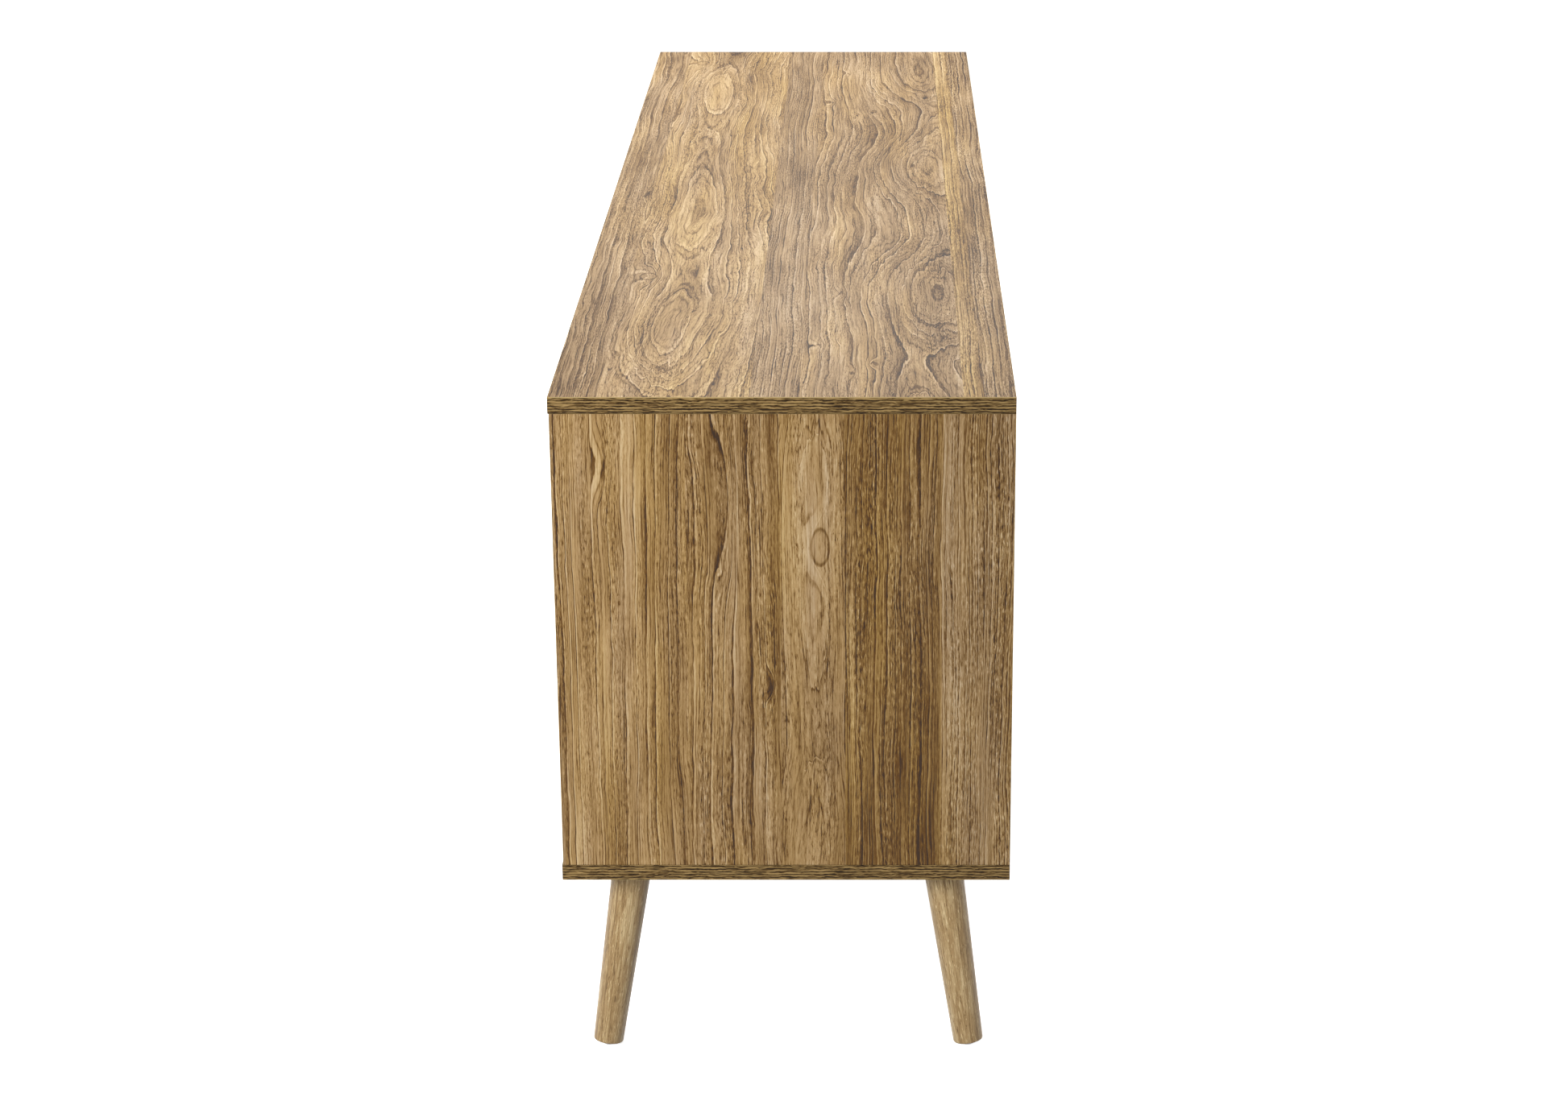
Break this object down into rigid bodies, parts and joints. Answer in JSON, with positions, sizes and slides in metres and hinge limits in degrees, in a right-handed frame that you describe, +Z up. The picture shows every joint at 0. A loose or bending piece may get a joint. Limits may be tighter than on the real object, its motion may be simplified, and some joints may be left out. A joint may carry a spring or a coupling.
{
  "type": "sideboard buffet",
  "caption": "Low wooden cabinet on splayed tapered legs, with a hinged door at each end and a bank of drawers between them.",
  "frame": {"origin": "on the floor, at the centre of the closed piece's footprint, knobs included", "axes": "+X along the cabinet, from the left door to the right door as seen from the front; -Y towards the front; +Z up"},
  "size_m": [1.6, 0.419, 0.626],
  "materials": {
    "laminate_board": "wood-grain foil, satin",
    "solid_wood": "clear lacquer, satin",
    "hardboard": "wood-grain print, matt",
    "drawer_board": "wood-grain foil, satin",
    "zinc": "zinc-plated",
    "steel": "bright steel",
    "nylon": "moulded nylon",
    "dowel_wood": "fluted beech"
  },
  "bodies": {
    "cabinet": {"top_panel": "laminate_board", "bottom_panel": "laminate_board", "side_panel_left": "laminate_board", "side_panel_right": "laminate_board", "divider_left": "laminate_board", "divider_right": "laminate_board", "back_panel_left": "hardboard", "back_panel_centre": "hardboard", "back_panel_right": "hardboard", "back_panel_strips": "nylon", "shelf_left": "laminate_board", "shelf_right": "laminate_board", "shelf_pins": "steel", "cam_locks": "zinc", "cam_bolts": "zinc", "wood_dowels": "dowel_wood", "pivot_pins": "steel", "magnetic_catches": "nylon", "drawer_rails": "solid_wood", "leg_front_left": "solid_wood", "leg_front_right": "solid_wood", "leg_back_left": "solid_wood", "leg_back_right": "solid_wood", "leg_centre": "solid_wood", "leg_plates": "zinc", "leg_bolts": "steel", "foot_glides": "nylon", "panel_screws": "zinc"},
    "door_left": {"door_left": "laminate_board", "door_left_knob": "solid_wood", "door_left_knob_screw": "zinc", "door_left_bushes": "nylon", "door_left_strike": "steel"},
    "door_right": {"door_right": "laminate_board", "door_right_knob": "solid_wood", "door_right_knob_screw": "zinc", "door_right_bushes": "nylon", "door_right_strike": "steel"},
    "drawer_lower": {"drawer_lower_front": "laminate_board", "drawer_lower_side_left": "drawer_board", "drawer_lower_side_right": "drawer_board", "drawer_lower_back": "drawer_board", "drawer_lower_bottom": "hardboard", "drawer_lower_knob": "solid_wood", "drawer_lower_knob_screw": "zinc"},
    "drawer_middle": {"drawer_middle_front": "laminate_board", "drawer_middle_side_left": "drawer_board", "drawer_middle_side_right": "drawer_board", "drawer_middle_back": "drawer_board", "drawer_middle_bottom": "hardboard", "drawer_middle_knob": "solid_wood", "drawer_middle_knob_screw": "zinc"},
    "drawer_upper": {"drawer_upper_front": "laminate_board", "drawer_upper_side_left": "drawer_board", "drawer_upper_side_right": "drawer_board", "drawer_upper_back": "drawer_board", "drawer_upper_bottom": "hardboard", "drawer_upper_knob": "solid_wood", "drawer_upper_knob_screw": "zinc"}
  },
  "joints": [
    {"name": "door_left_hinge", "type": "hinge", "parent": "cabinet", "child": "door_left", "pos_m": [-0.7665, -0.182, 0.401], "axis": [0, 0, -1], "range_deg": [0, 130]},
    {"name": "door_right_hinge", "type": "hinge", "parent": "cabinet", "child": "door_right", "pos_m": [0.7665, -0.182, 0.401], "axis": [0, 0, 1], "range_deg": [0, 130]},
    {"name": "drawer_lower_slide", "type": "slide", "parent": "cabinet", "child": "drawer_lower", "axis": [0, -1, 0], "range_m": [0, 0.25]},
    {"name": "drawer_middle_slide", "type": "slide", "parent": "cabinet", "child": "drawer_middle", "axis": [0, -1, 0], "range_m": [0, 0.25]},
    {"name": "drawer_upper_slide", "type": "slide", "parent": "cabinet", "child": "drawer_upper", "axis": [0, -1, 0], "range_m": [0, 0.25]}
  ]
}
